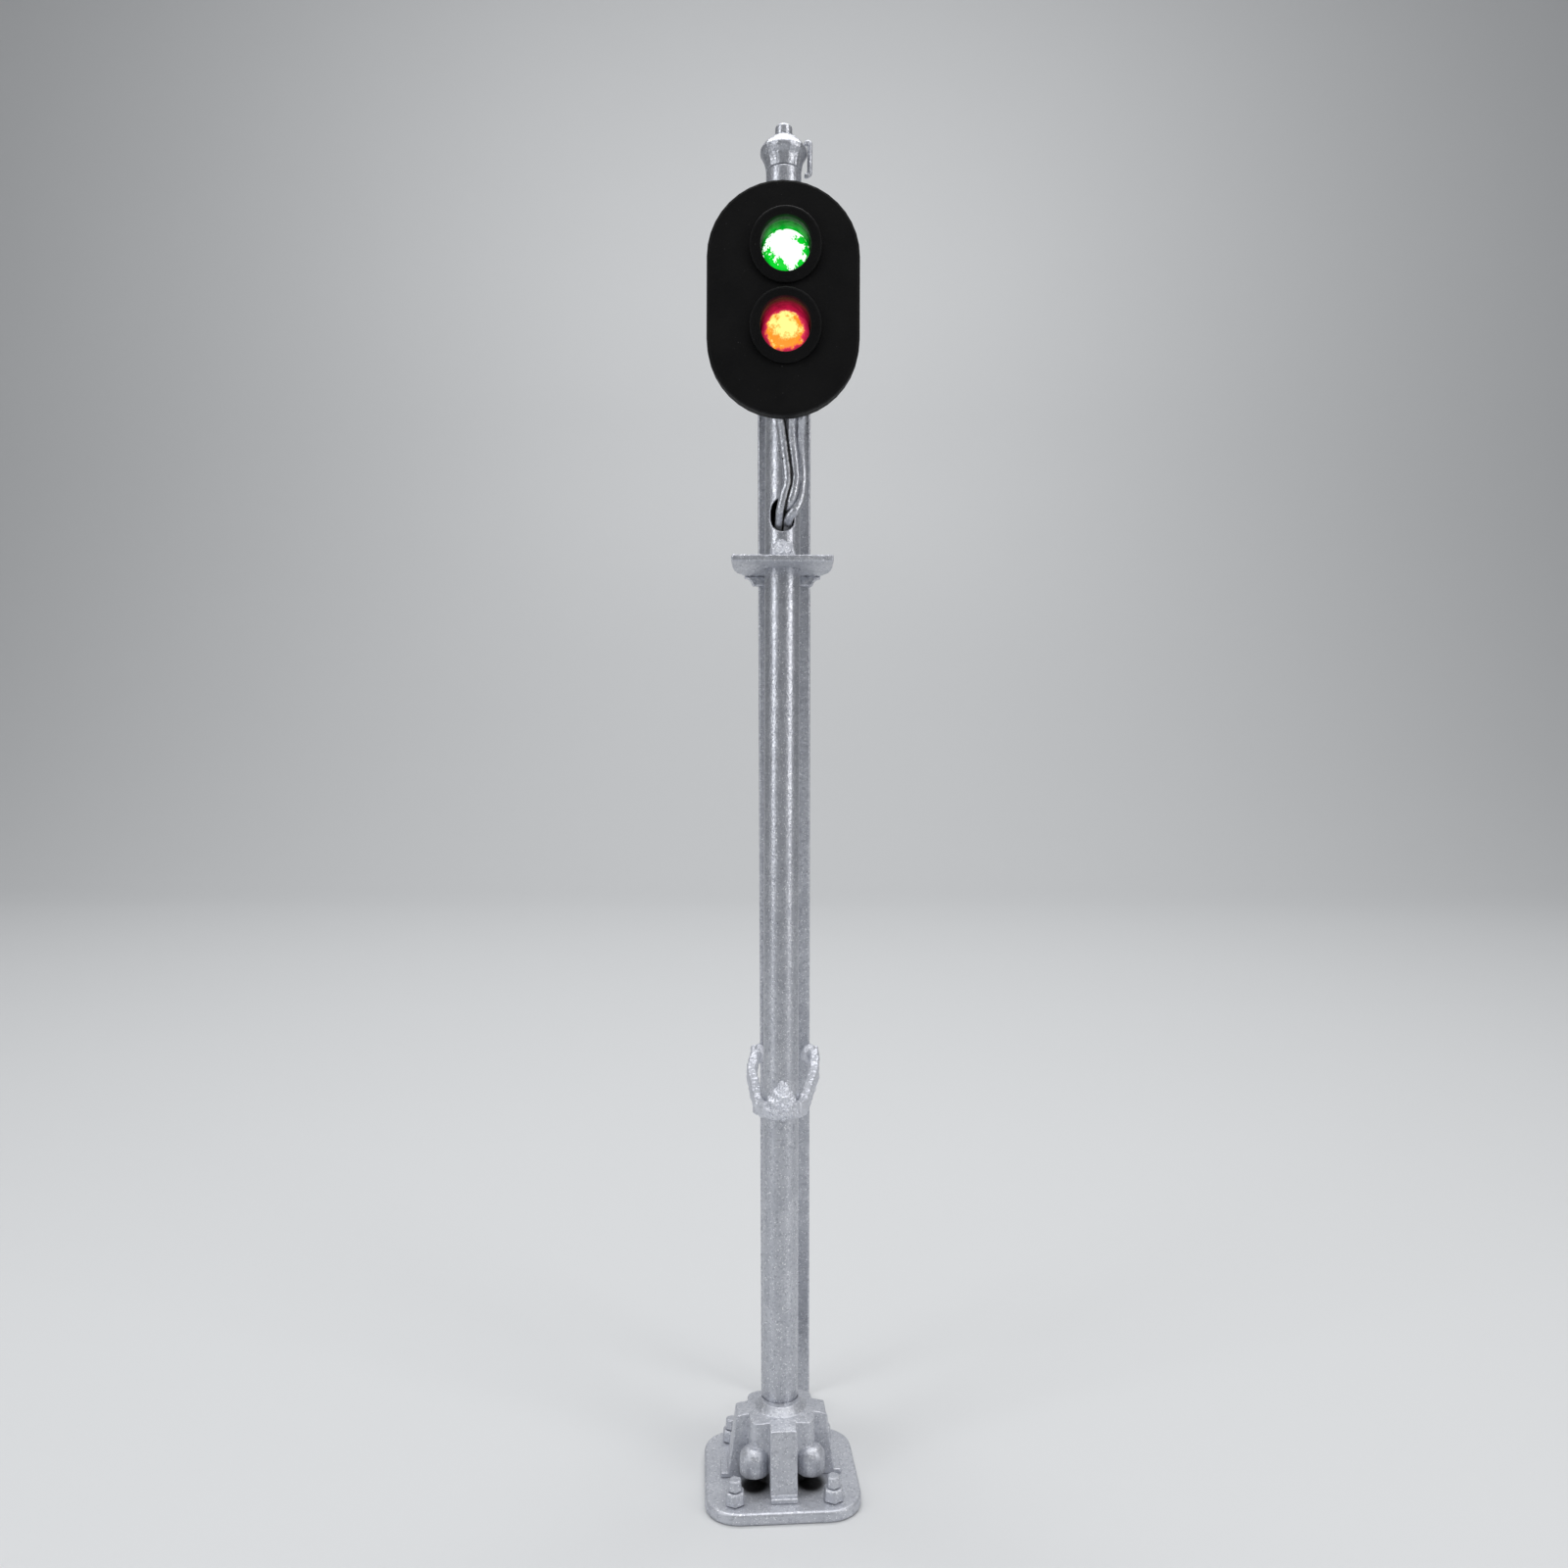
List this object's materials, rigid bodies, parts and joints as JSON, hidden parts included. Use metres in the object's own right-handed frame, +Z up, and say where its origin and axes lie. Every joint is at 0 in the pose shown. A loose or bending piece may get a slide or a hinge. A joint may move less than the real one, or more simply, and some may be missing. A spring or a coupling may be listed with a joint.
{
  "type": "model railway signal mast",
  "caption": "Model railway colour-light signal: a flat oval target plate with visored lamps on a round mast, with a platform, a leaning ladder and a ribbed square base.",
  "frame": {"origin": "on the ground, midway between the front of the visors and the back of the ladder's feet, and midway across the base plate; the mast's axis stands 2.23 mm in front of it and 0.05 mm to its left", "axes": "+Z up along the mast, -Y the way the lamps face, +X to the right of someone who looks at the lamps"},
  "size_m": [0.0092, 0.0146, 0.08],
  "materials": {
    "silver_paint": "sprayed silver paint with a fine metallic grain, satin",
    "painted_lead": "thin insulated lead, sprayed with the mast's silver paint where it shows",
    "black_plastic": "black, matt with a faint grain",
    "green_lamp": "clear green resin, lit",
    "red_lamp": "clear red resin, lit",
    "tinned_wire": "tinned"
  },
  "bodies": {
    "root": {"base_plate": "silver_paint", "anchor_nut_1": "silver_paint", "anchor_nut_2": "silver_paint", "anchor_nut_3": "silver_paint", "anchor_nut_4": "silver_paint", "anchor_bolt_1": "silver_paint", "anchor_bolt_2": "silver_paint", "anchor_bolt_3": "silver_paint", "anchor_bolt_4": "silver_paint", "pedestal": "silver_paint", "mast_tube": "silver_paint", "finial_cap": "silver_paint", "finial_pin": "silver_paint", "finial_hook": "silver_paint", "ladder_rail_left": "silver_paint", "ladder_rail_right": "silver_paint", "ladder_rung_01": "silver_paint", "ladder_rung_02": "silver_paint", "ladder_rung_03": "silver_paint", "ladder_rung_04": "silver_paint", "ladder_rung_05": "silver_paint", "ladder_rung_06": "silver_paint", "ladder_rung_07": "silver_paint", "ladder_rung_08": "silver_paint", "ladder_rung_09": "silver_paint", "ladder_rung_10": "silver_paint", "ladder_rung_11": "silver_paint", "ladder_rung_12": "silver_paint", "ladder_rung_13": "silver_paint", "ladder_rung_14": "silver_paint", "ladder_rung_15": "silver_paint", "ladder_rung_16": "silver_paint", "ladder_rung_17": "silver_paint", "brace_strap": "silver_paint", "brace_glue_bead": "silver_paint", "platform_plate": "silver_paint", "platform_corbel_left": "silver_paint", "platform_corbel_right": "silver_paint", "platform_glue_bead": "silver_paint", "target_plate": "black_plastic", "visor_green": "black_plastic", "visor_red": "black_plastic", "head_housing": "black_plastic", "rear_cover": "black_plastic", "head_saddle": "black_plastic", "lamp_green": "green_lamp", "lamp_red": "red_lamp", "lamp_green_leg_left": "tinned_wire", "lamp_green_leg_right": "tinned_wire", "lamp_red_leg_left": "tinned_wire", "lamp_red_leg_right": "tinned_wire", "lead_common": "painted_lead", "lead_green": "painted_lead", "lead_red": "painted_lead"}
  },
  "joints": []
}
